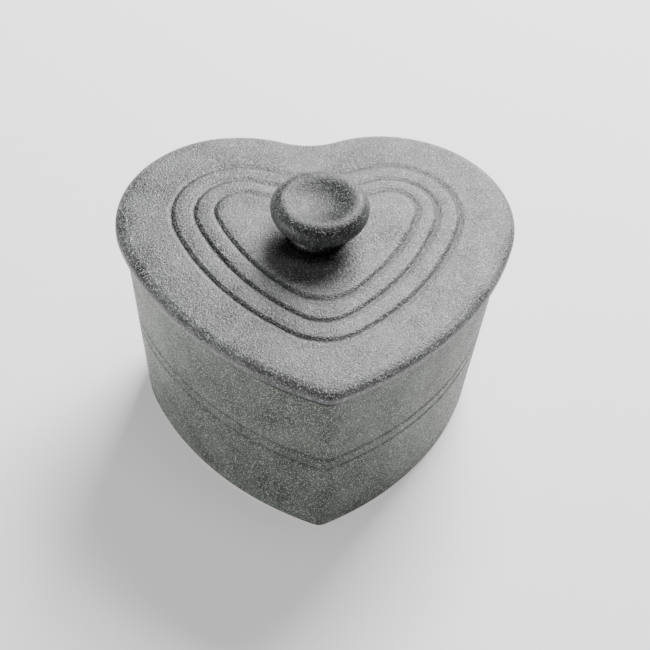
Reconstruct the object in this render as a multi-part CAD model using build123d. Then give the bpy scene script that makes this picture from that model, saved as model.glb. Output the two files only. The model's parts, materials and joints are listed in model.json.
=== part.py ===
from build123d import *
import os
from math import atan2, cos, degrees, pi, radians, sin, sqrt

# Heart-shaped glazed ceramic box with a lift-off lid and a wind-up musical movement inside.
# Millimetres. +Z is up, the origin is the centre of the footprint at the surface the box stands on,
# and the heart's point faces -Y.

# ---- Heart outline: six tangent arcs -------------------------------------------------------------
HALF_WIDTH = 57.5          # lid rim, centre line to the widest point
LOBE_R = 36.6              # the two round lobes
SIDE_R = 96.5              # the long side arcs
CLEFT_R = 21.4             # the concave arc between the lobes
TIP_DEPTH = 62.4           # lobe centres to the centre of the point's arc
LID_TIP_R = 7.9            # the point of the lid

# ---- Body casting --------------------------------------------------------------------------------
BODY_H = 62.2              # rim height
RIM_OVERHANG = 2.3         # lid rim beyond the body's rim
WALL_TAPER = 7.4           # how much further in the wall is at the foot
WALL_T = 4.5               # wall thickness
TIP_R_TOP = 6.0            # outside point radius at the rim
TIP_R_FOOT = 3.6           # outside point radius at the foot
INNER_TIP_R = 4.0          # inside point radius
FOOT_ROUND = 1.4           # rounding of the foot edge
RIM_ROUND = 1.6            # rounding of the rim edge
SHELF_Z = 39.0             # underside of the shelf between the movement and the tray
SHELF_T = 3.5              # shelf thickness
GROOVE_TOP_Z = 33.6        # upper incised line
GROOVE_GAP = 4.5           # from one incised line to the next
GROOVE_W = 1.1             # width of an incised line
GROOVE_D = 0.55            # depth of an incised line
BOSS_R = 4.6               # screw bosses inside the bay
BOSS_SIDE_SET = 4.5        # side bosses, wall to centre
BOSS_SIDE_Y = 0.5          # side bosses, from the lobe centres
BOSS_TIP_SET = 6.9         # front boss, inside of the point to centre
BOSS_WEB = 6.0             # web that joins the front boss to the wall

# ---- Lid -----------------------------------------------------------------------------------------
LID_EDGE_T = 4.0           # height of the lid's rim band
LID_TOP_ROUND = 2.9        # rounding of the rim's upper edge
LID_LOW_ROUND = 1.0        # rounding of the rim's lower edge
DOME_RISE = 1.1            # rise of the field from the rim to the first step
STEP_INSETS = (16.3, 22.8, 28.6)
STEP_TIPS = (16.0, 11.0, 13.0)
STEP_RISES = (0.9, 0.75, 0.6)
STEP_DRAFT = 0.55          # lean of each riser
FLANGE_GAP = 0.8           # locating flange to the body's mouth
FLANGE_T = 4.0             # flange thickness
FLANGE_DROP = 4.5          # flange below the rim seat
FLANGE_DRAFT = 0.4         # how much the flange narrows downwards
LID_HOLLOW = 2.4           # height of the hollow under the lid
LID_HOLLOW_RUN = 10.0      # how far in the hollow reaches its full height

# ---- Knob ----------------------------------------------------------------------------------------
KNOB_Y = -10.4             # knob axis, from the lobe centres
KNOB_FOOT_R = 9.0
KNOB_NECK_R = 7.9
KNOB_NECK_H = 2.2          # height of the narrowest place
KNOB_UNDER_H = 4.4         # height where the neck opens into the head
KNOB_R = 14.0
KNOB_WIDEST_H = 9.5
KNOB_CREST_R = 10.2
KNOB_H = 13.2
KNOB_DIMPLE = 1.4
KNOB_UNDER_LEAN = 0.35     # slope where the head leaves the neck

# ---- Base plate and its fixings ------------------------------------------------------------------
BASE_Z = 12.0              # underside of the base plate, above the table
BASE_T = 2.0
BASE_GAP = 0.5             # base plate edge to the wall
ANCHOR_R = 2.3             # nylon anchors pressed into the bosses
ANCHOR_L = 10.0
BASE_SCREW_R = 1.2
BASE_SCREW_L = 8.0         # length below the anchor's mouth and into it
SCREW_HEAD_R = 2.6
SCREW_HEAD_H = 1.6
SLOT_W = 0.7               # screwdriver slots
SLOT_D = 0.6
CLEAR = 0.2                # clearance round a screw that passes through
TOUCH = 0.1                # smallest free gap between neighbours
RUN_FIT = 0.05             # radial clearance of a running fit
PAST = 1.0                 # how far a cutting solid runs past the face it opens
ROOTED = 0.5               # how far a joined piece runs into the one that carries it

# ---- Movement: bedplate --------------------------------------------------------------------------
MOVEMENT_MID_Y = 14.0      # middle of the bedplate, where the cleft leaves room for it
CLEFT_ROOM = 2.0           # least gap from the bedplate to the wall at the cleft
BED_X = 27.0               # bedplate's right end, from the centre line
BED_EDGE = 0.6             # bedplate beyond the spring cup
BED_Y = 19.0               # half the bedplate's depth
BED_T = 2.5
BED_CORNER_R = 3.0
MOVEMENT_SCREW_R = 1.5
MOVEMENT_SCREW_SPOTS = ((-21.8, -14.5), (22.6, 15.4), (4.0, 16.4))
MOVEMENT_SCREW_HEAD_R = 2.6
BED_BOSS_R = 2.4
BED_BOSS_H = 2.5
COMB_SHELF_GAP = 0.3       # comb's shelf, short of the comb's heel

# ---- Movement: spring cup, mainspring, arbor and clutch ------------------------------------------
CUP_GAP = 0.4              # spring cup to the left bearing bracket
CUP_R = 10.4
CUP_WALL = 0.9
CUP_H = 7.0
SPRING_STRIP = 0.4
SPRING_PITCH = 0.9
SPRING_TURNS = 7
SPRING_STRIP_H = 5.6
ARBOR_R = 1.5              # through the bedplate
ARBOR_CORE_R = 1.9         # inside the mainspring
ARBOR_TOP_R = 1.2          # above the cup
ARBOR_IN_KEY = 6.6         # how far the arbor reaches into the key's hub
PLATE_KEY_HOLE_R = 6.0     # hole in the base plate round the arbor
CROWN_TEETH = 36
CROWN_MODULE = 0.45
CROWN_WEB = 1.2
CROWN_RIM = 0.9            # half the radial length of the crown teeth
CROWN_TOOTH_H = 1.8        # tooth height in modules
CROWN_TOOTH_SEAT = 1.1     # pinion's pitch circle above the tooth roots, in modules
CROWN_TOOTH_FOOT = 0.42    # tooth width at the root and the tip, as shares of the pitch
CROWN_TOOTH_TIP = 0.16
CROWN_HUB_R = 2.4
CROWN_HUB_H = 2.3
DRUM_H = 2.3
CLUTCH_WIRE = 0.5
CLUTCH_TURNS = 7
CLUTCH_LAY = 1.12          # pitch of the turns in wire diameters
CLUTCH_LIFT = 0.2          # first turn above the crown gear
CLIP_R = 2.3
CLIP_T = 0.5
CLIP_MOUTH = 1.4
ARBOR_END = 0.4            # arbor beyond the clip

# ---- Winding key ---------------------------------------------------------------------------------
KEY_LOW_Z = 1.2
KEY_HUB_R = 2.9
KEY_GAP = 1.4              # key's hub to the base plate
KEY_SPAN = 11.5            # half the width over the wings
KEY_WING_T = 1.8
KEY_WING_H = 8.0
KEY_EYE_R = 2.2
KEY_EYE_RIM = 1.5          # eye to the wing's end
KEY_WING_ROUND = 3.6
KEY_WAIST_R = 2.0          # notches between the hub and the wings
KEY_WAIST_OUT = 1.4
KEY_WAIST_UP = 1.1

# ---- Movement: cylinder --------------------------------------------------------------------------
CYL_V = 8.0                # winding and cylinder axes, from the middle of the bedplate
CYL_R = 6.0
CYL_WALL = 0.7
CYL_X0 = -3.0
CYL_L = 16.0
DISC_T = 1.2
CYL_ARBOR_R = 1.0
PIN_R = 0.17
PIN_OUT = 0.9              # pin height above the cylinder
PIN_ROOT = 0.35            # pin depth in the cylinder wall
ARBOR_PAST_PINION = 0.4
ARBOR_PAST_BRACKET = 0.2
PINS_PER_TRACK = 5
PINION_TEETH = 12
BRACKET_T = 1.0
BRACKET_HALF = 3.0
CYL_END_GAP = 1.2          # cylinder to the left bracket
BRACKET_GAP = 0.5          # cylinder to the drive gear
DRIVE_GAP = 0.7            # drive gear to the right bracket
BRACKET_FOOT = 5.0
SMALL_SCREW_R = 0.8
SMALL_HEAD_R = 1.5
SMALL_HEAD_H = 1.0
SMALL_SCREW_DEEP = 2.0     # thread in the bedplate
SMALL_SCREW_EDGE = 0.5     # head to the edge of the governor frame

# ---- Movement: comb ------------------------------------------------------------------------------
NOTES = 18
NOTE_PITCH = 0.86
TOOTH_W = 0.66
TOOTH_T = 0.7
TOOTH_L = 11.0
COMB_HEEL = 8.0
COMB_T = 1.6
COMB_END = 1.6             # plate beyond the first and last teeth
PLUCK_GAP = 0.05           # pin circle to the tips of the teeth
COMB_SCREW_SPAN = 9.0
COMB_SCREW_R = 1.0
COMB_HEAD_R = 1.9
COMB_HEAD_H = 1.3
LEAD_BACK = 1.5            # leads, behind the tips
LEAD_L = 2.6
LEAD_MAX = 2.0
LEAD_MIN = 0.3
LEADED = 13                # weighted teeth, from the low end
COMB_SCREW_DEEP = 5.0
THREAD_ROOM = 1.0          # hole beyond the end of a screw

# ---- Movement: governor --------------------------------------------------------------------------
GEAR_MODULE = 0.3
ADDENDUM = 0.7             # tooth outside and inside the pitch circle, in modules
DEDENDUM = 1.0
TOOTH_SHARE = 0.31         # tooth thickness as a share of the pitch
ROOT_WIDE = 1.35           # tooth width at the root and the tip, to the width at the pitch circle
TIP_WIDE = 0.55
DRIVE_TEETH = 36
GOV_PINION_TEETH = 8
WHEEL_1_TEETH = 32
WORM_WHEEL_TEETH = 24
WORM_STARTS = 2
WORM_R = 1.2               # pitch radius
GEAR_T = 1.0
PINION_PAST = 0.2          # pinion beyond its wheel on both sides
AXLE_R = 0.5
AXLE_PAST = 0.3            # axle beyond the frame
AXLE_1_DROP = 35.0         # degrees below the cylinder's horizontal
FRAME_X0 = 15.0
FRAME_X1 = 24.4
FRAME_T = 1.6
FRAME_FLOOR = 1.2
FRAME_BACK = 4.6           # frame's back edge, from the middle of the bedplate
FRAME_FRONT = -15.5        # frame's front edge, from the middle of the bedplate
FRAME_RISE = 4.6           # frame above the worm wheel's axle
CAP_T = 1.0
CAP_HALF = 2.6
CAP_SCREW_DEEP = 3.0
CAP_HEAD_R = 0.8
CAP_HEAD_H = 0.5
CHEEK_PAST_WORM = 3.2      # cheeks in front of the worm's axis
WHEEL_GAP = 0.6            # first wheel to the left cheek
WORM_GAP = 2.4             # first wheel to the worm's axis
WORM_SEAT_R = 1.3          # bearing under the worm
WORM_SEAT_H = 0.3
WORM_SEAT_GAP = 0.2
WORM_FOOT = 0.6            # bearing hole's bottom above the bedplate
FAN_GAP = 1.0              # fan above the cap
WORM_LEN = 5.4
WORM_SHAFT_R = 0.45
FAN_R = 4.2
FAN_H = 3.4
FAN_HUB_R = 1.0
FAN_BLADE_T = 0.4
FAN_BLADES = 4

# ---- Stop rod ------------------------------------------------------------------------------------
STOP_RISE = 2.5            # travel of the rod when the lid is lifted
STOP_ROD_R = 0.8
STOP_GAP = 0.2             # rod beside the fan's circle
BUSH_R = 3.0
BUSH_BORE_R = 2.2
BUSH_LIP = 1.0             # bush floor
BUSH_HEAD_R = 4.2
BUSH_HEAD_T = 1.0
BUSH_GAP = 2.0             # bush above the fan
COLLAR_T = 1.0
STOP_WIRE = 0.35
STOP_COILS = 4
COLLAR_GAP = 0.14          # spring to the collar
STOP_ROD_ROUND = 0.3
COIL_EASE = 0.01           # each turn short of filling the room under the collar

# ---- Places that follow from the sizes above -----------------------------------------------------
LOBE_X = HALF_WIDTH - LOBE_R
SHIFT_Y = (TIP_DEPTH + LID_TIP_R - LOBE_R) / 2      # lobe centres, in front of or behind the origin
TRAY_Z = SHELF_Z + SHELF_T
BED_Z = BASE_Z + BASE_T
BED_TOP = BED_Z + BED_T
CLEFT_Y = sqrt((LOBE_R + CLEFT_R) ** 2 - LOBE_X ** 2)
CLEFT_WALL_Y = SHIFT_Y + CLEFT_Y - CLEFT_R - RIM_OVERHANG - WALL_TAPER * (1 - BED_Z / BODY_H) - WALL_T
MOVEMENT_Y = min(MOVEMENT_MID_Y, CLEFT_WALL_Y - CLEFT_ROOM - BED_Y)
AXIS_Y = MOVEMENT_Y + CYL_V
CUP_TOP = BED_TOP + CUP_H
KEY_HUB_TOP_Z = BASE_Z - KEY_GAP
ARBOR_LOW_Z = KEY_HUB_TOP_Z - ARBOR_IN_KEY
CROWN_R = CROWN_TEETH * CROWN_MODULE / 2
PINION_R = PINION_TEETH * CROWN_MODULE / 2
CROWN_Z = CUP_TOP + TOUCH
CROWN_ROOT_Z = CROWN_Z + CROWN_WEB
CYL_Z = CROWN_ROOT_Z + CROWN_TOOTH_SEAT * CROWN_MODULE + PINION_R
CYL_X1 = CYL_X0 + CYL_L
CYL_MID_X = CYL_X0 + CYL_L / 2
LEFT_BRACKET_X = CYL_X0 - CYL_END_GAP - BRACKET_T
CUP_X = LEFT_BRACKET_X - CUP_GAP - CUP_R
PINION_X = CUP_X + CROWN_R
DRIVE_X = CYL_X1 + BRACKET_GAP
RIGHT_BRACKET_X = DRIVE_X + GEAR_T + DRIVE_GAP
PIN_REACH = CYL_R + PIN_OUT
TIP_Y = AXIS_Y - PIN_REACH - PLUCK_GAP
COMB_BACK_Y = TIP_Y - TOOTH_L
COMB_FRONT_Y = COMB_BACK_Y - COMB_HEEL
COMB_Z = CYL_Z - COMB_T / 2
COMB_HALF = NOTES * NOTE_PITCH / 2 + COMB_END
DRUM_Z = CROWN_ROOT_Z + CROWN_HUB_H + TOUCH
DISTANCE_1 = (DRIVE_TEETH + GOV_PINION_TEETH) * GEAR_MODULE / 2
DISTANCE_2 = (WHEEL_1_TEETH + GOV_PINION_TEETH) * GEAR_MODULE / 2
WORM_WHEEL_R = WORM_WHEEL_TEETH * GEAR_MODULE / 2
AXLE_1 = (AXIS_Y - DISTANCE_1 * cos(radians(AXLE_1_DROP)),
          CYL_Z - DISTANCE_1 * sin(radians(AXLE_1_DROP)))
AXLE_2 = (AXLE_1[0] - DISTANCE_2, AXLE_1[1])
WHEEL_X = FRAME_X0 + FRAME_T + WHEEL_GAP
WORM_X = WHEEL_X + GEAR_T + WORM_GAP
WORM_Y = AXLE_2[0] - WORM_WHEEL_R - WORM_R
WORM_Z0 = BED_TOP + FRAME_FLOOR + WORM_SEAT_H + WORM_SEAT_GAP
FRAME_TOP_Z = AXLE_2[1] + FRAME_RISE
FAN_Z = FRAME_TOP_Z + CAP_T + FAN_GAP
BUSH_LOW_Z = FAN_Z + FAN_H + BUSH_GAP
STOP_X = WORM_X + FAN_R + STOP_GAP + STOP_ROD_R
STOP_Y = WORM_Y


# ---- Basic solids --------------------------------------------------------------------------------
def post(r, z0, z1, x=0.0, y=0.0):
    """Round bar along Z."""
    return Pos(x, y, z0) * Cylinder(r, z1 - z0, align=(Align.CENTER, Align.CENTER, Align.MIN))


def bar_x(r, x0, x1, y, z):
    """Round bar along X."""
    lying = Pos(x0, y, z) * Rot(0, 90, 0)
    return lying * Cylinder(r, x1 - x0, align=(Align.CENTER, Align.CENTER, Align.MIN))


def block(x0, x1, y0, y1, z0, z1):
    """Rectangular block between two corners."""
    corner = (Align.MIN, Align.MIN, Align.MIN)
    return Pos(x0, y0, z0) * Box(x1 - x0, y1 - y0, z1 - z0, align=corner)


def screw(r, low_z, seat_z, head_r, head_h, x, y, head_up=True):
    """Slotted screw along Z; the shank runs from low_z to the seat, or up from the seat to low_z."""
    if head_up:
        head = post(head_r, seat_z, seat_z + head_h, x, y)
        slot_z = seat_z + head_h - SLOT_D
    else:
        head = post(head_r, seat_z - head_h, seat_z, x, y)
        slot_z = seat_z - head_h
    shank = post(r, min(low_z, seat_z), max(low_z, seat_z), x, y)
    slot = Pos(x, y, slot_z + SLOT_D / 2) * Box(3 * head_r, SLOT_W, SLOT_D)
    return head + shank - slot


def tooth_outline(teeth, module, first_angle):
    """Spur gear outline with slim straight-flanked teeth; one tooth is centred on first_angle."""
    pitch_r = teeth * module / 2
    tip_r = pitch_r + ADDENDUM * module
    root_r = pitch_r - DEDENDUM * module
    half = TOOTH_SHARE * pi / teeth
    corners = []
    for i in range(teeth):
        middle = first_angle + 2 * pi * i / teeth
        for radius, turn in ((root_r, -ROOT_WIDE), (pitch_r, -1), (tip_r, -TIP_WIDE),
                             (tip_r, TIP_WIDE), (pitch_r, 1), (root_r, ROOT_WIDE)):
            angle = middle + turn * half
            corners.append((radius * cos(angle), radius * sin(angle)))
    return make_face(Polyline(*corners, close=True))


def gear_x(teeth, module, x0, x1, y, z, bore, aim, on_tooth, twist=0.0):
    """Spur gear on an axis along X; a tooth or a space points to aim, in degrees from +Y to +Z."""
    first = radians(aim + 90) + (0 if on_tooth else pi / teeth)
    outline = tooth_outline(teeth, module, first - radians(twist) / 2)
    if twist:
        section = outline.face()
        solid = Solid.extrude_linear_with_rotation(section, (0, 0, 0), (0, 0, x1 - x0), twist)
    else:
        solid = extrude(outline, amount=x1 - x0)
    return Pos(x0, y, z) * Rot(0, 90, 0) * solid - bar_x(bore, x0 - PAST, x1 + PAST, y, z)


# ---- Heart outline -------------------------------------------------------------------------------
def along(start, end, distance):
    """Point at a distance from start, in the direction of end."""
    reach = sqrt((end[0] - start[0]) ** 2 + (end[1] - start[1]) ** 2)
    return tuple(s + (e - s) * distance / reach for s, e in zip(start, end))


def side_centre():
    """Centre of the right side arc, which is tangent inside to the lobe and to the point's arc."""
    a = SIDE_R - LOBE_R
    b = SIDE_R - LID_TIP_R
    d = sqrt(LOBE_X ** 2 + TIP_DEPTH ** 2)
    ux, uy = LOBE_X / d, TIP_DEPTH / d
    x = (b * b - a * a + d * d) / (2 * d)
    h = sqrt(b * b - x * x)
    return (ux * x - uy * h, -TIP_DEPTH + uy * x + ux * h)


def tip_centre_y(inset, tip_r):
    """Centre of the point's arc, tangent inside to both side arcs."""
    x, y = side_centre()
    return y - sqrt((SIDE_R - inset - tip_r) ** 2 - x ** 2)


def heart(inset, tip_r):
    """Heart-shaped face, inset from the lid's rim, with its own point radius."""
    lobe = (LOBE_X, 0.0)
    side = side_centre()
    cleft = (0.0, CLEFT_Y)
    tip = (0.0, tip_centre_y(inset, tip_r))
    start = along(lobe, cleft, LOBE_R - inset)
    shoulder = along(side, lobe, SIDE_R - inset)
    hip = along(side, tip, SIDE_R - inset)

    def middle(centre, radius, first, last):
        turn = [atan2(p[1] - centre[1], p[0] - centre[0]) for p in (first, last)]
        half = sum(turn) / 2
        return (centre[0] + radius * cos(half), centre[1] + radius * sin(half))

    right = [(start, middle(lobe, LOBE_R - inset, start, shoulder), shoulder),
             (shoulder, middle(side, SIDE_R - inset, shoulder, hip), hip)]
    left = [tuple((-x, y) for x, y in reversed(arc)) for arc in reversed(right)]
    point = [(hip, (0.0, tip[1] - tip_r), (-hip[0], hip[1]))]
    notch = [((-start[0], start[1]), (0.0, cleft[1] - CLEFT_R - inset), start)]
    arcs = [ThreePointArc(*arc) for arc in right + point + left + notch]
    return Pos(0, SHIFT_Y) * make_face(arcs)


def heart_solid(z0, z1, inset0, inset1, tip0, tip1):
    """Solid between two heart outlines at two heights."""
    sections = [Pos(0, 0, z0) * heart(inset0, tip0), Pos(0, 0, z1) * heart(inset1, tip1)]
    return loft(sections, ruled=True)


def wall_inset(z):
    """Inset of the body's outer wall at a height."""
    return RIM_OVERHANG + WALL_TAPER * (1 - z / BODY_H)


def wall_tip(z):
    """Radius of the body's outer point at a height."""
    return TIP_R_FOOT + (TIP_R_TOP - TIP_R_FOOT) * z / BODY_H


def inner_solid(z0, z1, gap=0.0):
    """Space inside the wall between two heights, less a gap all round."""
    inset0 = wall_inset(z0) + WALL_T + gap
    inset1 = wall_inset(z1) + WALL_T + gap
    return heart_solid(z0, z1, inset0, inset1, INNER_TIP_R, INNER_TIP_R)


# ---- Ceramic box ---------------------------------------------------------------------------------
def boss_spots():
    """The three screw bosses: one beside each lobe and one in the point."""
    inset = wall_inset(BED_Z) + WALL_T
    side_x = HALF_WIDTH - inset - BOSS_SIDE_SET
    tip_y = tip_centre_y(inset, INNER_TIP_R) - INNER_TIP_R + BOSS_TIP_SET
    return [(-side_x, SHIFT_Y + BOSS_SIDE_Y), (side_x, SHIFT_Y + BOSS_SIDE_Y), (0.0, SHIFT_Y + tip_y)]


def groove_cutter(z):
    """Ring that cuts one V-shaped line round the wall."""
    low, high = z - GROOVE_W / 2, z + GROOVE_W / 2
    deep = wall_inset(z) + GROOVE_D
    core = heart_solid(low, z, wall_inset(low), deep, wall_tip(low), wall_tip(z))
    core += heart_solid(z, high, deep, wall_inset(high), wall_tip(z), wall_tip(high))
    around = heart_solid(low, high, -PAST, -PAST, LID_TIP_R, LID_TIP_R)
    return around - core


def make_body():
    shell = heart_solid(0, BODY_H, wall_inset(0), wall_inset(BODY_H), wall_tip(0), wall_tip(BODY_H))
    shell = fillet(shell.faces().sort_by(Axis.Z)[0].edges(), FOOT_ROUND)
    shell = fillet(shell.faces().sort_by(Axis.Z)[-1].edges(), RIM_ROUND)
    bay = inner_solid(-PAST, SHELF_Z)
    tray = inner_solid(TRAY_Z, BODY_H + PAST)
    bosses = []
    for x, y in boss_spots():
        boss = post(BOSS_R, BED_Z, SHELF_Z + ROOTED, x, y)
        if x == 0:
            boss += block(-BOSS_WEB / 2, BOSS_WEB / 2, y - 2 * BOSS_R, y, BED_Z, SHELF_Z + ROOTED)
        bosses.append(boss & inner_solid(BED_Z - PAST, SHELF_Z + PAST, -WALL_T / 2))
    shell = shell - bay - tray
    for boss in bosses:
        shell += boss
    for x, y in boss_spots():
        shell -= post(ANCHOR_R, BED_Z - PAST, BED_Z + ANCHOR_L, x, y)
    shell -= post(BUSH_R, SHELF_Z - PAST, TRAY_Z + PAST, STOP_X, STOP_Y)
    for i in range(2):
        shell -= groove_cutter(GROOVE_TOP_Z - i * GROOVE_GAP)
    return shell


def lid_levels():
    """Height of the field at the first step, then of each terrace."""
    levels = [BODY_H + LID_EDGE_T + DOME_RISE]
    for rise in STEP_RISES:
        levels.append(levels[-1] + rise)
    return levels


def make_lid():
    top = BODY_H + LID_EDGE_T
    slab = heart_solid(BODY_H, top, 0, 0, LID_TIP_R, LID_TIP_R)
    slab = fillet(slab.faces().sort_by(Axis.Z)[-1].edges(), LID_TOP_ROUND)
    slab = fillet(slab.faces().sort_by(Axis.Z)[0].edges(), LID_LOW_ROUND)
    levels = lid_levels()
    lid = slab + heart_solid(top, levels[0], LID_TOP_ROUND, STEP_INSETS[0],
                             LID_TIP_R, STEP_TIPS[0])
    for i, inset in enumerate(STEP_INSETS):
        tip = STEP_TIPS[i]
        lid += heart_solid(levels[i], levels[i + 1], inset, inset + STEP_DRAFT, tip, tip)
    mouth = wall_inset(BODY_H) + WALL_T
    outer = mouth + FLANGE_GAP
    inner = outer + FLANGE_T
    low = BODY_H - FLANGE_DROP
    lid += heart_solid(low, BODY_H, outer + FLANGE_DRAFT, outer, INNER_TIP_R, INNER_TIP_R)
    lid -= heart_solid(low - PAST, BODY_H, inner, inner, INNER_TIP_R, INNER_TIP_R)
    lid -= heart_solid(BODY_H, BODY_H + LID_HOLLOW, inner, inner + LID_HOLLOW_RUN, INNER_TIP_R,
                       INNER_TIP_R)
    return lid


def make_lid_knob():
    foot_z = lid_levels()[-1]
    neck = ThreePointArc((KNOB_FOOT_R, 0), (KNOB_NECK_R, KNOB_NECK_H), (KNOB_FOOT_R, KNOB_UNDER_H))
    leaning = (1, KNOB_UNDER_LEAN)
    under = Spline((KNOB_FOOT_R, KNOB_UNDER_H), (KNOB_R, KNOB_WIDEST_H), tangents=(leaning, (0, 1)))
    over = Spline((KNOB_R, KNOB_WIDEST_H), (KNOB_CREST_R, KNOB_H), tangents=((0, 1), (-1, 0)))
    dimple = Spline((KNOB_CREST_R, KNOB_H), (0, KNOB_H - KNOB_DIMPLE), tangents=((-1, 0), (-1, 0)))
    axis = Line((0, KNOB_H - KNOB_DIMPLE), (0, 0))
    base = Line((0, 0), (KNOB_FOOT_R, 0))
    profile = make_face([neck, under, over, dimple, axis, base])
    knob = revolve(Plane.XZ * profile, Axis.Z)
    return Pos(0, SHIFT_Y + KNOB_Y, foot_z) * knob


# ---- Base plate ----------------------------------------------------------------------------------
def make_base_plate():
    plate = inner_solid(BASE_Z, BED_Z, BASE_GAP)
    for x, y in boss_spots():
        plate -= post(BASE_SCREW_R + CLEAR, BASE_Z - PAST, BED_Z + PAST, x, y)
    for x, v in MOVEMENT_SCREW_SPOTS:
        plate -= post(MOVEMENT_SCREW_R + CLEAR, BASE_Z - PAST, BED_Z + PAST, x, MOVEMENT_Y + v)
    return plate - post(PLATE_KEY_HOLE_R, BASE_Z - PAST, BED_Z + PAST, CUP_X, AXIS_Y)


def make_base_plate_anchors():
    anchors = []
    for x, y in boss_spots():
        tube = post(ANCHOR_R, BED_Z, BED_Z + ANCHOR_L, x, y)
        anchors.append(tube - post(BASE_SCREW_R, BED_Z - PAST, BED_Z + BASE_SCREW_L, x, y))
    return anchors


def make_base_plate_screws():
    top = BED_Z + BASE_SCREW_L
    return [screw(BASE_SCREW_R, top, BASE_Z, SCREW_HEAD_R, SCREW_HEAD_H, x, y, head_up=False)
            for x, y in boss_spots()]


def make_movement_screws():
    top = BED_TOP + BED_BOSS_H - TOUCH
    return [screw(MOVEMENT_SCREW_R, top, BASE_Z, MOVEMENT_SCREW_HEAD_R, SCREW_HEAD_H, x,
                  MOVEMENT_Y + v, head_up=False) for x, v in MOVEMENT_SCREW_SPOTS]


# ---- Bedplate and mainspring ---------------------------------------------------------------------
def comb_screw_spots():
    y = COMB_FRONT_Y + COMB_HEEL / 2
    return [(CYL_MID_X + side * COMB_SCREW_SPAN / 2, y) for side in (-1, 1)]


def bracket_screw_spots():
    return [(LEFT_BRACKET_X + BRACKET_T + BRACKET_FOOT / 2, AXIS_Y),
            (RIGHT_BRACKET_X - BRACKET_FOOT / 2, AXIS_Y)]


def governor_screw_spots():
    edge = SMALL_HEAD_R + SMALL_SCREW_EDGE
    y = MOVEMENT_Y + FRAME_FRONT + edge
    return [(FRAME_X0 + edge, y), (FRAME_X1 - edge, y)]


def make_bedplate():
    left = CUP_X - CUP_R - BED_EDGE
    plate = RectangleRounded(BED_X - left, 2 * BED_Y, BED_CORNER_R)
    outline = Pos((BED_X + left) / 2, MOVEMENT_Y) * plate
    bed = Pos(0, 0, BED_Z) * extrude(outline, amount=BED_T)
    bed += post(CUP_R, BED_TOP, CUP_TOP, CUP_X, AXIS_Y)
    bed -= post(CUP_R - CUP_WALL, BED_TOP, CUP_TOP + PAST, CUP_X, AXIS_Y)
    bed += block(CYL_MID_X - COMB_HALF, CYL_MID_X + COMB_HALF, COMB_FRONT_Y,
                 COMB_BACK_Y - COMB_SHELF_GAP, BED_TOP, COMB_Z)
    for x, v in MOVEMENT_SCREW_SPOTS:
        bed += post(BED_BOSS_R, BED_TOP, BED_TOP + BED_BOSS_H, x, MOVEMENT_Y + v)
        bed -= post(MOVEMENT_SCREW_R, BED_Z - PAST, BED_TOP + BED_BOSS_H + PAST, x, MOVEMENT_Y + v)
    bed -= post(ARBOR_R + RUN_FIT, BED_Z - PAST, BED_TOP + PAST, CUP_X, AXIS_Y)
    for x, y in comb_screw_spots():
        bed -= post(COMB_SCREW_R, COMB_Z - COMB_SCREW_DEEP - THREAD_ROOM, COMB_Z + PAST, x, y)
    for x, y in bracket_screw_spots() + governor_screw_spots():
        bed -= post(SMALL_SCREW_R, BED_TOP - SMALL_SCREW_DEEP, BED_TOP + PAST, x, y)
    return bed


def spiral_edges(offset):
    """Half circles of growing radius about two centres, as a coiled strip's edge."""
    start_r = CUP_R - CUP_WALL - SPRING_STRIP / 2 - SPRING_TURNS * SPRING_PITCH
    edges = []
    x_start = start_r
    for i in range(2 * SPRING_TURNS):
        side = 1 if i % 2 == 0 else -1
        radius = start_r + i * SPRING_PITCH / 2
        centre = x_start - side * radius
        r = radius + offset
        edges.append(ThreePointArc((centre + side * r, 0), (centre, side * r), (centre - side * r, 0)))
        x_start = centre - side * radius
    return edges


def make_mainspring():
    inner = spiral_edges(-SPRING_STRIP / 2)
    outer = spiral_edges(SPRING_STRIP / 2)
    first = Line(inner[0] @ 0, outer[0] @ 0)
    last = Line(inner[-1] @ 1, outer[-1] @ 1)
    strip = make_face(inner + outer + [first, last])
    return Pos(CUP_X, AXIS_Y, BED_TOP) * extrude(strip, amount=SPRING_STRIP_H)


# ---- Winding arbor, key and clutch ---------------------------------------------------------------
def make_winding_arbor():
    top = DRUM_Z + DRUM_H + CLIP_T + ARBOR_END
    arbor = post(ARBOR_R, ARBOR_LOW_Z, BED_TOP + TOUCH, CUP_X, AXIS_Y)
    arbor += post(ARBOR_CORE_R, BED_TOP + TOUCH, CROWN_Z - TOUCH, CUP_X, AXIS_Y)
    return arbor + post(ARBOR_TOP_R, CROWN_Z - TOUCH, top, CUP_X, AXIS_Y)


def make_winding_key():
    """Butterfly key: a round hub with two flat wings, each with an eye."""
    hub = post(KEY_HUB_R, KEY_LOW_Z, KEY_HUB_TOP_Z, CUP_X, AXIS_Y)
    wing_mid_z = KEY_LOW_Z + KEY_WING_H / 2
    wings = Box(2 * KEY_SPAN, KEY_WING_T, KEY_WING_H)
    wings = fillet(wings.edges().filter_by(Axis.Y), KEY_WING_ROUND)
    notch = Rot(90, 0, 0) * Cylinder(KEY_WAIST_R, 2 * KEY_WING_T)
    eye = Rot(90, 0, 0) * Cylinder(KEY_EYE_R, 2 * KEY_WING_T)
    for side in (-1, 1):
        wings -= Pos(side * (KEY_HUB_R + KEY_WAIST_OUT), 0, KEY_WING_H / 2 + KEY_WAIST_UP) * notch
        wings -= Pos(side * (KEY_SPAN - KEY_EYE_R - KEY_EYE_RIM), 0, 0) * eye
    key = hub + Pos(CUP_X, AXIS_Y, wing_mid_z) * wings
    return key - post(ARBOR_R, ARBOR_LOW_Z, KEY_HUB_TOP_Z + PAST, CUP_X, AXIS_Y)


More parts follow.
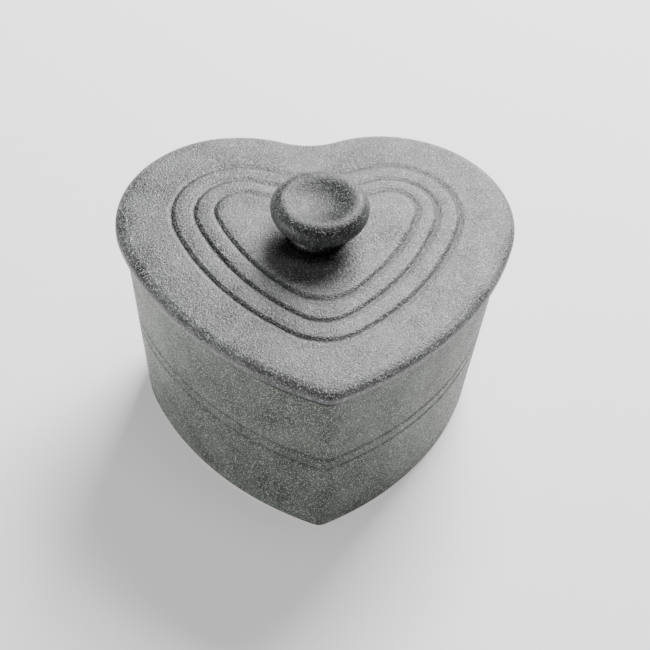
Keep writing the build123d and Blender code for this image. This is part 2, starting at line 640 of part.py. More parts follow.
def make_crown_gear():
    """Contrate gear: a disc with teeth on its upper face, on the cup, with a clutch hub."""
    outer = CROWN_R + CROWN_RIM
    gear = post(outer, CROWN_Z, CROWN_ROOT_Z, CUP_X, AXIS_Y)
    gear += post(CROWN_HUB_R, CROWN_ROOT_Z, CROWN_ROOT_Z + CROWN_HUB_H, CUP_X, AXIS_Y)
    tall = CROWN_TOOTH_H * CROWN_MODULE
    low_w = CROWN_TOOTH_FOOT * pi * CROWN_MODULE
    top_w = CROWN_TOOTH_TIP * pi * CROWN_MODULE
    flank = Polyline((-low_w / 2, 0), (low_w / 2, 0), (top_w / 2, tall), (-top_w / 2, tall), close=True)
    tooth = extrude(Plane.YZ * make_face(flank), amount=2 * CROWN_RIM)
    for i in range(CROWN_TEETH):
        turn = Pos(CUP_X, AXIS_Y, CROWN_ROOT_Z) * Rot(0, 0, 360 * (i + 0.5) / CROWN_TEETH)
        gear += turn * Pos(CROWN_R - CROWN_RIM, 0, 0) * tooth
    top = CROWN_ROOT_Z + CROWN_HUB_H
    return gear - post(ARBOR_TOP_R + RUN_FIT, CROWN_Z - PAST, top + PAST, CUP_X, AXIS_Y)


def coil(wire_d, mean_r, z0, turns, pitch, x, y):
    """Round wire wound about a vertical axis."""
    path = Helix(pitch=pitch, height=pitch * turns, radius=mean_r)
    section = Plane(origin=path @ 0, z_dir=path % 0) * Circle(wire_d / 2)
    return Pos(x, y, z0 + wire_d / 2) * sweep(section, path=path, is_frenet=True)


def make_clutch_spring():
    """Wrap spring that grips the crown gear's hub and the drum above it."""
    pitch = CLUTCH_WIRE * CLUTCH_LAY
    mean_r = CROWN_HUB_R + RUN_FIT + CLUTCH_WIRE / 2
    return coil(CLUTCH_WIRE, mean_r, CROWN_ROOT_Z + CLUTCH_LIFT, CLUTCH_TURNS, pitch, CUP_X, AXIS_Y)


def make_clutch_drum():
    drum = post(CROWN_HUB_R, DRUM_Z, DRUM_Z + DRUM_H, CUP_X, AXIS_Y)
    return drum - post(ARBOR_TOP_R, DRUM_Z - PAST, DRUM_Z + DRUM_H + PAST, CUP_X, AXIS_Y)


def make_arbor_clip():
    """Open retaining ring at the top of the arbor."""
    z = DRUM_Z + DRUM_H
    ring = post(CLIP_R, z, z + CLIP_T, CUP_X, AXIS_Y)
    ring -= post(ARBOR_TOP_R, z - PAST, z + PAST, CUP_X, AXIS_Y)
    return ring - block(CUP_X - CLIP_MOUTH / 2, CUP_X + CLIP_MOUTH / 2, AXIS_Y - 2 * CLIP_R, AXIS_Y,
                        z - PAST, z + PAST)


# ---- Cylinder ------------------------------------------------------------------------------------
def make_cylinder():
    tube = bar_x(CYL_R, CYL_X0, CYL_X1, AXIS_Y, CYL_Z)
    return tube - bar_x(CYL_R - CYL_WALL, CYL_X0 - PAST, CYL_X1 + PAST, AXIS_Y, CYL_Z)


def note_x(note):
    return CYL_MID_X + (note - (NOTES - 1) / 2) * NOTE_PITCH


def make_cylinder_pins():
    """A few pins on each track, spread round the cylinder by a fixed rule."""
    pins = []
    length = PIN_OUT + PIN_ROOT
    for note in range(NOTES):
        for k in range(PINS_PER_TRACK):
            turn = 360 * ((note * 7) % 18 / 90 + k / PINS_PER_TRACK) + 11 * ((note * 5 + k * 3) % 4)
            pin = Pos(0, 0, CYL_R - PIN_ROOT) * Cylinder(
                PIN_R, length, align=(Align.CENTER, Align.CENTER, Align.MIN))
            pins.append(Pos(note_x(note), AXIS_Y, CYL_Z) * Rot(turn, 0, 0) * pin)
    return pins


def make_cylinder_end_discs():
    discs = []
    for x in (CYL_X0, CYL_X1 - DISC_T):
        disc = bar_x(CYL_R - CYL_WALL, x, x + DISC_T, AXIS_Y, CYL_Z)
        discs.append(disc - bar_x(CYL_ARBOR_R, x - PAST, x + DISC_T + PAST, AXIS_Y, CYL_Z))
    return discs


def make_cylinder_arbor():
    left = PINION_X - CROWN_RIM - ARBOR_PAST_PINION
    right = RIGHT_BRACKET_X + BRACKET_T + ARBOR_PAST_BRACKET
    return bar_x(CYL_ARBOR_R, left, right, AXIS_Y, CYL_Z)


def make_cylinder_pinion():
    return gear_x(PINION_TEETH, CROWN_MODULE, PINION_X - CROWN_RIM, PINION_X + CROWN_RIM, AXIS_Y,
                  CYL_Z, CYL_ARBOR_R, -90, True)


def make_cylinder_drive_gear():
    return gear_x(DRIVE_TEETH, GEAR_MODULE, DRIVE_X, DRIVE_X + GEAR_T, AXIS_Y, CYL_Z, CYL_ARBOR_R,
                  180 + AXLE_1_DROP, True)


def bearing_bracket(x, foot_x0, foot_x1):
    """Sheet bracket: an upright with a bearing hole, and a foot under the cylinder."""
    y0, y1 = AXIS_Y - BRACKET_HALF, AXIS_Y + BRACKET_HALF
    upright = block(x, x + BRACKET_T, y0, y1, BED_TOP, CYL_Z)
    upright += bar_x(BRACKET_HALF, x, x + BRACKET_T, AXIS_Y, CYL_Z)
    foot = block(foot_x0, foot_x1, y0, y1, BED_TOP, BED_TOP + BRACKET_T)
    hole = bar_x(CYL_ARBOR_R + RUN_FIT, x - PAST, x + BRACKET_T + PAST, AXIS_Y, CYL_Z)
    return upright + foot - hole


def make_bearing_bracket_left():
    x = LEFT_BRACKET_X
    bracket = bearing_bracket(x, x, x + BRACKET_T + BRACKET_FOOT)
    spot = bracket_screw_spots()[0]
    return bracket - post(SMALL_SCREW_R, BED_TOP - PAST, BED_TOP + BRACKET_T + PAST, *spot)


def make_bearing_bracket_right():
    x = RIGHT_BRACKET_X
    bracket = bearing_bracket(x, x - BRACKET_FOOT, x + BRACKET_T)
    spot = bracket_screw_spots()[1]
    return bracket - post(SMALL_SCREW_R, BED_TOP - PAST, BED_TOP + BRACKET_T + PAST, *spot)


def make_bracket_screws():
    return [screw(SMALL_SCREW_R, BED_TOP - SMALL_SCREW_DEEP, BED_TOP + BRACKET_T, SMALL_HEAD_R,
                  SMALL_HEAD_H, x, y)
            for x, y in bracket_screw_spots()]


# ---- Comb ----------------------------------------------------------------------------------------
def make_comb():
    """Steel comb: a heel plate and thin teeth whose tips stand just clear of the pins."""
    heel = block(CYL_MID_X - COMB_HALF, CYL_MID_X + COMB_HALF, COMB_FRONT_Y, COMB_BACK_Y, COMB_Z,
                 COMB_Z + COMB_T)
    for x, y in comb_screw_spots():
        heel -= post(COMB_SCREW_R, COMB_Z - PAST, COMB_Z + COMB_T + PAST, x, y)
    top = COMB_Z + COMB_T
    for note in range(NOTES):
        x = note_x(note)
        heel += block(x - TOOTH_W / 2, x + TOOTH_W / 2, COMB_BACK_Y, TIP_Y, top - TOOTH_T, top)
    return heel


def make_tuning_leads():
    """Lead weights under the lower teeth, smaller towards the high notes."""
    leads = []
    low = COMB_Z + COMB_T - TOOTH_T
    for note in range(LEADED):
        x = note_x(note)
        share = 1 - note / (LEADED - 1)
        deep = LEAD_MIN + (LEAD_MAX - LEAD_MIN) * share
        back = TIP_Y - LEAD_BACK
        leads.append(block(x - TOOTH_W / 2, x + TOOTH_W / 2, back - LEAD_L, back, low - deep, low))
    return leads


def make_comb_screws():
    return [screw(COMB_SCREW_R, COMB_Z - COMB_SCREW_DEEP, COMB_Z + COMB_T, COMB_HEAD_R, COMB_HEAD_H,
                  x, y)
            for x, y in comb_screw_spots()]


# ---- Governor ------------------------------------------------------------------------------------
def make_governor_frame():
    """Floor with two cheeks that carry the axles, and a bearing under the worm."""
    y0, y1 = MOVEMENT_Y + FRAME_FRONT, MOVEMENT_Y + FRAME_BACK
    cheek_y0 = WORM_Y - CHEEK_PAST_WORM
    floor_top = BED_TOP + FRAME_FLOOR
    frame = block(FRAME_X0, FRAME_X1, y0, y1, BED_TOP, floor_top)
    for x in (FRAME_X0, FRAME_X1 - FRAME_T):
        frame += block(x, x + FRAME_T, cheek_y0, y1, floor_top, FRAME_TOP_Z)
    frame += post(WORM_SEAT_R, floor_top, WORM_Z0 - WORM_SEAT_GAP, WORM_X, WORM_Y)
    frame -= post(WORM_SHAFT_R + RUN_FIT, BED_TOP + WORM_FOOT, WORM_Z0, WORM_X, WORM_Y)
    for y, z in (AXLE_1, AXLE_2):
        frame -= bar_x(AXLE_R + RUN_FIT, FRAME_X0 - PAST, FRAME_X1 + PAST, y, z)
    for x, y in governor_screw_spots():
        frame -= post(SMALL_SCREW_R, BED_TOP - PAST, floor_top + PAST, x, y)
    for x, y in cap_screw_spots():
        frame -= post(AXLE_R, FRAME_TOP_Z - CAP_SCREW_DEEP - THREAD_ROOM, FRAME_TOP_Z + PAST, x, y)
    return frame


def cap_screw_spots():
    return [(FRAME_X0 + FRAME_T / 2, WORM_Y), (FRAME_X1 - FRAME_T / 2, WORM_Y)]


def make_governor_cap():
    cap = block(FRAME_X0, FRAME_X1, WORM_Y - CAP_HALF, WORM_Y + CAP_HALF, FRAME_TOP_Z,
                FRAME_TOP_Z + CAP_T)
    for x, y in cap_screw_spots():
        cap -= post(AXLE_R, FRAME_TOP_Z - PAST, FRAME_TOP_Z + CAP_T + PAST, x, y)
    return cap - post(WORM_SHAFT_R + RUN_FIT, FRAME_TOP_Z - PAST, FRAME_TOP_Z + CAP_T + PAST, WORM_X,
                      WORM_Y)


def make_governor_cap_screws():
    seat = FRAME_TOP_Z + CAP_T
    return [screw(AXLE_R, FRAME_TOP_Z - CAP_SCREW_DEEP, seat, CAP_HEAD_R, CAP_HEAD_H, x, y)
            for x, y in cap_screw_spots()]


def make_governor_frame_screws():
    seat = BED_TOP + FRAME_FLOOR
    return [screw(SMALL_SCREW_R, BED_TOP - SMALL_SCREW_DEEP, seat, SMALL_HEAD_R, SMALL_HEAD_H, x, y)
            for x, y in governor_screw_spots()]


def make_governor_axle_1():
    return bar_x(AXLE_R, DRIVE_X - 2 * PINION_PAST, FRAME_X1 + AXLE_PAST, *AXLE_1)


def make_governor_pinion_1():
    return gear_x(GOV_PINION_TEETH, GEAR_MODULE, DRIVE_X - PINION_PAST, DRIVE_X + GEAR_T + PINION_PAST,
                  *AXLE_1, AXLE_R, AXLE_1_DROP, False)


def make_governor_wheel_1():
    return gear_x(WHEEL_1_TEETH, GEAR_MODULE, WHEEL_X, WHEEL_X + GEAR_T, *AXLE_1, AXLE_R, 180, True)


def make_governor_axle_2():
    return bar_x(AXLE_R, FRAME_X0 - AXLE_PAST, FRAME_X1 + AXLE_PAST, *AXLE_2)


def make_governor_pinion_2():
    return gear_x(GOV_PINION_TEETH, GEAR_MODULE, WHEEL_X - PINION_PAST, WHEEL_X + GEAR_T + PINION_PAST,
                  *AXLE_2, AXLE_R, 0, False)


def make_governor_worm_wheel():
    lean = WORM_STARTS * GEAR_MODULE / (2 * WORM_R)
    twist = degrees(lean * GEAR_T / WORM_WHEEL_R)
    return gear_x(WORM_WHEEL_TEETH, GEAR_MODULE, WORM_X - GEAR_T / 2, WORM_X + GEAR_T / 2, *AXLE_2,
                  AXLE_R, 180, True, twist)


def make_governor_worm():
    """Upright shaft with a steep two-start thread, in step with the worm wheel."""
    lead = WORM_STARTS * pi * GEAR_MODULE
    half = WORM_LEN / 2
    core = WORM_R - DEDENDUM * GEAR_MODULE
    tip = WORM_R + ADDENDUM * GEAR_MODULE
    low_turn = -360 * half / lead
    wide = TOOTH_SHARE * pi / WORM_STARTS
    corners = []
    for i in range(WORM_STARTS):
        middle = 2 * pi * i / WORM_STARTS + pi / 2 + pi / WORM_STARTS + radians(low_turn)
        for radius, turn in ((core, -ROOT_WIDE), (WORM_R, -1), (tip, -TIP_WIDE), (tip, 0),
                             (tip, TIP_WIDE), (WORM_R, 1), (core, ROOT_WIDE)):
            corners.append((radius * cos(middle + turn * wide), radius * sin(middle + turn * wide)))
        for k in (1, 2, 3):
            free = 2 * pi / WORM_STARTS - 2 * ROOT_WIDE * wide
            angle = middle + ROOT_WIDE * wide + k * free / 4
            corners.append((core * cos(angle), core * sin(angle)))
    section = make_face(Polyline(*corners, close=True)).face()
    thread = Solid.extrude_linear_with_rotation(section, (0, 0, 0), (0, 0, WORM_LEN), -2 * low_turn)
    worm = Pos(WORM_X, WORM_Y, AXLE_2[1] - half) * thread
    return worm + post(WORM_SHAFT_R, WORM_Z0, FAN_Z + FAN_H + AXLE_PAST, WORM_X, WORM_Y)


def make_air_fan():
    fan = post(FAN_HUB_R, FAN_Z, FAN_Z + FAN_H, WORM_X, WORM_Y)
    for i in range(FAN_BLADES):
        blade = block(0, FAN_R, -FAN_BLADE_T / 2, FAN_BLADE_T / 2, FAN_Z, FAN_Z + FAN_H)
        fan += Pos(WORM_X, WORM_Y) * Rot(0, 0, 360 * (i + 0.5) / FAN_BLADES) * blade
    return fan - post(WORM_SHAFT_R, FAN_Z - PAST, FAN_Z + FAN_H + PAST, WORM_X, WORM_Y)


# ---- Stop rod ------------------------------------------------------------------------------------
def make_stop_rod_bush():
    bush = post(BUSH_R, BUSH_LOW_Z, TRAY_Z, STOP_X, STOP_Y)
    bush += post(BUSH_HEAD_R, TRAY_Z, TRAY_Z + BUSH_HEAD_T, STOP_X, STOP_Y)
    bush -= post(BUSH_BORE_R, BUSH_LOW_Z + BUSH_LIP, TRAY_Z + BUSH_HEAD_T + PAST, STOP_X, STOP_Y)
    return bush - post(STOP_ROD_R + RUN_FIT, BUSH_LOW_Z - PAST, TRAY_Z, STOP_X, STOP_Y)


def make_stop_rod_bush_cap():
    z = TRAY_Z + BUSH_HEAD_T
    cap = post(BUSH_HEAD_R, z, z + BUSH_HEAD_T, STOP_X, STOP_Y)
    return cap - post(STOP_ROD_R + RUN_FIT, z - PAST, z + BUSH_HEAD_T + PAST, STOP_X, STOP_Y)


def collar_z():
    return BUSH_LOW_Z + BUSH_LIP + STOP_WIRE * (STOP_COILS + 1) + COLLAR_GAP


def make_stop_rod():
    """Plain rod from beside the fan up to the lid's hollow underside."""
    top = BODY_H + LID_HOLLOW - TOUCH
    rod = post(STOP_ROD_R, FAN_Z + FAN_H / 2, top, STOP_X, STOP_Y)
    return fillet(rod.faces().sort_by(Axis.Z)[-1].edges(), STOP_ROD_ROUND)


def make_stop_rod_collar():
    z = collar_z()
    collar = post(BUSH_BORE_R - RUN_FIT, z, z + COLLAR_T, STOP_X, STOP_Y)
    return collar - post(STOP_ROD_R, z - PAST, z + COLLAR_T + PAST, STOP_X, STOP_Y)


def make_stop_rod_spring():
    """Pressed coil between the bush's floor and the collar."""
    low = BUSH_LOW_Z + BUSH_LIP
    pitch = (collar_z() - low - STOP_WIRE) / STOP_COILS - COIL_EASE
    mean_r = (STOP_ROD_R + BUSH_BORE_R) / 2
    return coil(STOP_WIRE, mean_r, low, STOP_COILS, pitch, STOP_X, STOP_Y)


NODES = {
    "body": make_body,
    "lid": make_lid,
    "lid_knob": make_lid_knob,
    "base_plate": make_base_plate,
    "base_plate_anchors": make_base_plate_anchors,
    "base_plate_screws": make_base_plate_screws,
    "movement_screws": make_movement_screws,
    "bedplate": make_bedplate,
    "mainspring": make_mainspring,
    "winding_arbor": make_winding_arbor,
    "winding_key": make_winding_key,
    "crown_gear": make_crown_gear,
    "clutch_spring": make_clutch_spring,
    "clutch_drum": make_clutch_drum,
    "arbor_clip": make_arbor_clip,
    "cylinder": make_cylinder,
    "cylinder_pins": make_cylinder_pins,
    "cylinder_end_discs": make_cylinder_end_discs,
    "cylinder_arbor": make_cylinder_arbor,
    "cylinder_pinion": make_cylinder_pinion,
    "cylinder_drive_gear": make_cylinder_drive_gear,
    "bearing_bracket_left": make_bearing_bracket_left,
    "bearing_bracket_right": make_bearing_bracket_right,
    "bracket_screws": make_bracket_screws,
    "comb": make_comb,
    "tuning_leads": make_tuning_leads,
    "comb_screws": make_comb_screws,
    "governor_frame": make_governor_frame,
    "governor_frame_screws": make_governor_frame_screws,
    "governor_cap": make_governor_cap,
    "governor_cap_screws": make_governor_cap_screws,
    "governor_axle_1": make_governor_axle_1,
    "governor_pinion_1": make_governor_pinion_1,
    "governor_wheel_1": make_governor_wheel_1,
    "governor_axle_2": make_governor_axle_2,
    "governor_pinion_2": make_governor_pinion_2,
    "governor_worm_wheel": make_governor_worm_wheel,
    "governor_worm": make_governor_worm,
    "air_fan": make_air_fan,
    "stop_rod": make_stop_rod,
    "stop_rod_collar": make_stop_rod_collar,
    "stop_rod_spring": make_stop_rod_spring,
    "stop_rod_bush": make_stop_rod_bush,
    "stop_rod_bush_cap": make_stop_rod_bush_cap,
}

os.makedirs("parts", exist_ok=True)
for name, make in NODES.items():
    made = make()
    if isinstance(made, list):
        solids = [piece.solid() for piece in made]
        made = Compound(children=solids) if len(solids) > 1 else solids[0]
    export_step(made, f"parts/{name}.step")
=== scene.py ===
import json
from math import acos, atan2, cos, pi, radians, sin, sqrt, tan

import bpy
import numpy as np
from mathutils import Matrix, Vector


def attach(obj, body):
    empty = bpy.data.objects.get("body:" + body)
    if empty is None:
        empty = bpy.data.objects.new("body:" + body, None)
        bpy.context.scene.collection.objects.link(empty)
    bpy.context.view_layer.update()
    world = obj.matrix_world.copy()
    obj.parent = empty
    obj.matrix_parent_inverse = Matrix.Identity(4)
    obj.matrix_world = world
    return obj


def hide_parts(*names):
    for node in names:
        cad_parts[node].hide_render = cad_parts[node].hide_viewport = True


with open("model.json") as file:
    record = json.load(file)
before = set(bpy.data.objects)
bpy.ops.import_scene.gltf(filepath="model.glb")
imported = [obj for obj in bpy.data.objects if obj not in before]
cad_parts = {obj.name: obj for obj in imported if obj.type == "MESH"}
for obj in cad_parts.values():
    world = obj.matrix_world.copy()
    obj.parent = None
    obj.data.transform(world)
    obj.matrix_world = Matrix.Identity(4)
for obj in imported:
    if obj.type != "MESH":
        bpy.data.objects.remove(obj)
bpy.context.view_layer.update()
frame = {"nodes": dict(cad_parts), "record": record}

# Heart-shaped stoneware music box: glazed box, stepped lid and knob are built here as fine meshes;
# the movement keeps its CAD shapes and gets its metals and plastics here.
# Lengths in this file are millimetres; meshes are written in metres.
MM = 0.001

# ---- Heart outline, as the box is drawn ----------------------------------------------------------
HALF_WIDTH, LOBE_R, SIDE_R, CLEFT_R = 57.5, 36.6, 96.5, 21.4
TIP_DEPTH, LID_TIP_R = 62.4, 7.9
LOBE_X = HALF_WIDTH - LOBE_R
SHIFT_Y = (TIP_DEPTH + LID_TIP_R - LOBE_R) / 2
BODY_H, WALL_T = 62.2, 4.5
RIM_OVERHANG, WALL_TAPER = 2.3, 7.4
TIP_TOP, TIP_FOOT, TIP_INNER = 6.0, 3.6, 4.0
SHELF_LOW, SHELF_TOP = 39.0, 42.5
LID_TOP = 66.2
KNOB_Y = SHIFT_Y - 10.4
KNOB_Z = 69.55

ARC_STEPS = {"lobe": 64, "side": 72, "tip": 24, "cleft": 32}
PATH_STEP = 1.6            # longest stretch between two rings
SAME_POINT = 1e-4          # path points nearer than this are one point
BEND_STEPS = 6             # rings round each rounded corner
BEND_SHARE = 0.46          # most of a path's leg that one rounded corner may take
NEARLY_STRAIGHT = 1.56     # half angle, in radians, past which a corner isn't rounded
CAP_RINGS = 8
CAP_LAND = 4.0             # flat run between the last corner and the cap
MOST_BEND = 1.5            # bends sharper than this get no more painted shade


def side_centre():
    """Centre of the right side arc, tangent inside to the lobe and to the point's arc."""
    a, b = SIDE_R - LOBE_R, SIDE_R - LID_TIP_R
    d = sqrt(LOBE_X ** 2 + TIP_DEPTH ** 2)
    ux, uy = LOBE_X / d, TIP_DEPTH / d
    x = (b * b - a * a + d * d) / (2 * d)
    h = sqrt(b * b - x * x)
    return np.array([ux * x - uy * h, -TIP_DEPTH + uy * x + ux * h])


SIDE = side_centre()


def arc(centre, radius, first, last, steps):
    """Points of an arc, without its last one."""
    turn = first + (last - first) * np.arange(steps) / steps
    return np.stack([centre[0] + radius * np.cos(turn), centre[1] + radius * np.sin(turn)], 1)


def heart_ring(inset, tip_r):
    """One closed ring of points round the heart; all rings have matching points."""
    lobe = np.array([LOBE_X, 0.0])
    cleft = np.array([0.0, sqrt((LOBE_R + CLEFT_R) ** 2 - LOBE_X ** 2)])
    tip = np.array([0.0, SIDE[1] - sqrt((SIDE_R - inset - tip_r) ** 2 - SIDE[0] ** 2)])
    start = atan2(*(cleft - lobe)[::-1])
    shoulder = atan2(*(lobe - SIDE)[::-1])
    hip = atan2(*(tip - SIDE)[::-1])
    right = np.concatenate([
        arc(lobe, LOBE_R - inset, start, shoulder, ARC_STEPS["lobe"]),
        arc(SIDE, SIDE_R - inset, shoulder, hip, ARC_STEPS["side"]),
        arc(tip, tip_r, hip, -pi / 2, ARC_STEPS["tip"])])
    bottom = np.array([[0.0, tip[1] - tip_r]])
    half_notch = arc(cleft, CLEFT_R + inset, -pi / 2, atan2(*(lobe - cleft)[::-1]),
                     ARC_STEPS["cleft"])
    half = np.concatenate([half_notch, right])
    left = half[1:][::-1] * [-1, 1]
    ring = np.concatenate([half, bottom, left])[::-1]
    return ring + [0, SHIFT_Y]


def rounded_path(corners):
    """Samples a path of (inset, z, tip radius, corner radius) with its corners rounded."""
    pts = [np.array(c[:3], float) for c in corners]
    out = [pts[0]]
    for i in range(1, len(pts) - 1):
        a, p, b = pts[i - 1], pts[i], pts[i + 1]
        u, v = (a - p)[:2], (b - p)[:2]
        lu, lv = np.linalg.norm(u), np.linalg.norm(v)
        half = acos(max(-1, min(1, float(np.dot(u, v) / (lu * lv))))) / 2
        reach = min(corners[i][3] / tan(half), BEND_SHARE * lu, BEND_SHARE * lv)
        reach = reach if half < NEARLY_STRAIGHT else 0.0
        p0, p1 = p + (a - p) * reach / lu, p + (b - p) * reach / lv
        for k in range(BEND_STEPS + 1):
            t = k / BEND_STEPS
            pull = 2 * t * (1 - t) * sin(half)
            blend = (1 - t) ** 2 * p0 + pull * p + t * t * p1
            out.append(blend / ((1 - t) ** 2 + pull + t * t))
    out.append(pts[-1])
    fine = [out[0]]
    for q in out[1:]:
        gap = float(np.linalg.norm((q - fine[-1])[:2]))
        if gap < SAME_POINT:
            continue
        parts = max(1, int(np.ceil(gap / PATH_STEP)))
        last = fine[-1]
        fine += [last + (q - last) * (k + 1) / parts for k in range(parts)]
    return np.array(fine)


SHORTEST_LEG = 0.08        # keeps very short legs from counting as sharp bends


def turn_of(path):
    """Signed bend of a path at each of its points, per millimetre."""
    d = np.diff(path[:, :2], axis=0)
    angle = np.unwrap(np.arctan2(d[:, 1], d[:, 0]))
    length = np.linalg.norm(d, axis=1)
    bend = np.zeros(len(path))
    bend[1:-1] = np.diff(angle) / np.maximum(0.5 * (length[1:] + length[:-1]), SHORTEST_LEG)
    return bend


def circle(x, y, radius, z, around):
    """Points of a level circle."""
    turn = 2 * pi * np.arange(around) / around
    return np.column_stack([x + radius * np.cos(turn), y + radius * np.sin(turn), np.full(around, z)])


def grid_mesh(name, rings, crease_shade, low_pole=None, high_pole=None):
    """Closed mesh from matching rings, closed to a point at either end."""
    count, around = len(rings), len(rings[0])
    verts = np.concatenate(rings).tolist()
    faces = []
    for i in range(count - 1):
        a, b = i * around, (i + 1) * around
        faces += [(a + j, a + (j + 1) % around, b + (j + 1) % around, b + j) for j in range(around)]
    shade = np.repeat(crease_shade, around).tolist()
    for pole, ring, flip in ((low_pole, 0, True), (high_pole, count - 1, False)):
        if pole is not None:
            verts.append(list(pole))
            shade.append(0.0)
            tip, a = len(verts) - 1, ring * around
            for j in range(around):
                edge = (a + (j + 1) % around, a + j) if flip else (a + j, a + (j + 1) % around)
                faces.append((*edge, tip))
    mesh = bpy.data.meshes.new(name)
    mesh.from_pydata([tuple(c * MM for c in v) for v in verts], [], faces)
    mesh.update()
    # Per-point weight of the painted shade in hollows and on edges.
    attribute = mesh.attributes.new("crease_shade", "FLOAT", "POINT")
    attribute.data.foreach_set("value", np.array(shade, np.float32))
    mesh.polygons.foreach_set("use_smooth", [True] * len(mesh.polygons))
    piece = bpy.data.objects.new(name, mesh)
    bpy.context.scene.collection.objects.link(piece)
    return piece


def hand_wobble(v):
    """Slight unevenness of a slip-cast wall, a tenth of a millimetre or so."""
    x, y, z = v[:, 0], v[:, 1], v[:, 2]
    w = 0.05 * np.sin(x / 9.0 + 0.7 * np.sin(z / 13.0)) + 0.04 * np.sin(y / 7.0 + z / 11.0 + 1.3)
    return w + 0.03 * np.sin(x / 4.1 + y / 5.3)


STILL_BELOW = 1.5          # the foot up to here stays flat on its surface


def heart_piece(name, corners, shade_scale):
    """Closed heart-shaped shell from a rounded path, capped to its centre at both ends.

    The mesh attribute holds each ring's bend times the given scale, the weight of the painted shade in the
    glaze: above 0 in hollows, below 0 on edges.
    """
    path = rounded_path(corners)
    bend = turn_of(path) * shade_scale
    centre = np.array([0.0, KNOB_Y])
    rings, crease_shade = [], []
    for end in (0, 1):
        inset, z, tip = path[0] if end == 0 else path[-1]
        ring = heart_ring(inset, tip)
        shares = [k / CAP_RINGS for k in range(1, CAP_RINGS)]
        caps = [np.column_stack([centre + (ring - centre) * s, np.full(len(ring), z)]) for s in shares]
        if end == 0:
            rings += caps
            crease_shade += [0.0] * len(caps)
            for (inset_k, z_k, tip_k), bend_k in zip(path, bend):
                ring_k = heart_ring(inset_k, tip_k)
                rings.append(np.column_stack([ring_k, np.full(len(ring_k), z_k)]))
                crease_shade.append(float(np.clip(bend_k, -MOST_BEND, MOST_BEND)))
        else:
            rings += caps[::-1]
            crease_shade += [0.0] * len(caps)
    for ring in rings:
        ring[:, 2] += hand_wobble(ring) * (ring[:, 2] > STILL_BELOW)
    low = (centre[0], centre[1], path[0][1])
    high = (centre[0], centre[1], path[-1][1])
    return grid_mesh(name, rings, np.array(crease_shade), low, high)


# ---- Glazed pieces -------------------------------------------------------------------------------
def wall_inset(z):
    return RIM_OVERHANG + WALL_TAPER * (1 - z / BODY_H)


def wall_tip(z):
    return TIP_FOOT + (TIP_TOP - TIP_FOOT) * z / BODY_H


GROOVES = (29.1, 33.6)
GROOVE_HALF, GROOVE_DEEP, GROOVE_ROUND = 0.85, 0.34, 0.7
BOX_SHADE_SCALE = -0.4         # the wall's shallow grooves get less painted shade than the lid's steps
ROD_X, ROD_Y, ROD_HOLE_R = 25.8, 5.79, 3.0
DRILL_PAST = 2.0           # the drill reaches this far past both sides of the shelf


ROD_AROUND = 64


def make_box_shell():
    """Tapering wall, foot and shelf, with two grooves round it and the stop rod's hole."""
    corners = [(wall_inset(SHELF_LOW) + WALL_T + CAP_LAND, SHELF_LOW, TIP_INNER, 0),
               (wall_inset(SHELF_LOW) + WALL_T, SHELF_LOW, TIP_INNER, 2.0),
               (wall_inset(0) + WALL_T, 0, TIP_INNER, 1.0),
               (wall_inset(0), 0, TIP_FOOT, 1.5)]
    for z in GROOVES:
        for dz, deep in ((-GROOVE_HALF, 0), (0, GROOVE_DEEP), (GROOVE_HALF, 0)):
            corners.append((wall_inset(z + dz) + deep, z + dz, wall_tip(z), GROOVE_ROUND))
    corners += [(wall_inset(BODY_H), BODY_H, TIP_TOP, 1.9),
                (wall_inset(BODY_H) + WALL_T, BODY_H, TIP_INNER, 1.4),
                (wall_inset(SHELF_TOP) + WALL_T, SHELF_TOP, TIP_INNER, 3.0),
                (wall_inset(SHELF_TOP) + WALL_T + CAP_LAND, SHELF_TOP, TIP_INNER, 0)]
    shell = heart_piece("box_shell", corners, BOX_SHADE_SCALE)
    low, high = SHELF_LOW - DRILL_PAST, SHELF_TOP + DRILL_PAST
    rings = [circle(ROD_X, ROD_Y, ROD_HOLE_R, z, ROD_AROUND) for z in (low, high)]
    drill = grid_mesh("drill", rings, np.zeros(2), (ROD_X, ROD_Y, low), (ROD_X, ROD_Y, high))
    cut = shell.modifiers.new("rod_hole", "BOOLEAN")
    cut.operation, cut.solver, cut.object = "DIFFERENCE", "EXACT", drill
    bored = bpy.data.meshes.new_from_object(shell.evaluated_get(bpy.context.evaluated_depsgraph_get()))
    shell.modifiers.clear()
    shell.data = bored
    bpy.data.objects.remove(drill)
    return shell


BOSS_R, ANCHOR_R = 4.6, 2.3
BOSS_LOW, ANCHOR_TOP = 14.0, 24.0
BOSS_SPOTS = ((-40.47, 17.35), (40.47, 17.35), (0.0, -33.09))
BOSS_AROUND = 48
BOSS_ROOTED = 0.3          # the boss reaches this far into the shelf


def make_boss(name, x, y):
    """Round post under the shelf, bored from below for its anchor."""
    high = SHELF_LOW + BOSS_ROOTED
    path = ((ANCHOR_R, ANCHOR_TOP), (ANCHOR_R, BOSS_LOW), (BOSS_R, BOSS_LOW), (BOSS_R, high))
    rings = [circle(x, y, r, z, BOSS_AROUND) for r, z in path]
    return grid_mesh(name, rings, np.zeros(len(path)), (x, y, ANCHOR_TOP), (x, y, high))


FLANGE_OUT, FLANGE_IN, FLANGE_LOW, FLANGE_LEAN = 7.6, 11.6, 57.7, 0.4
# Weight of the lid's painted shade in its creases and on its rolled rim.
LID_SHADE_SCALE = -1


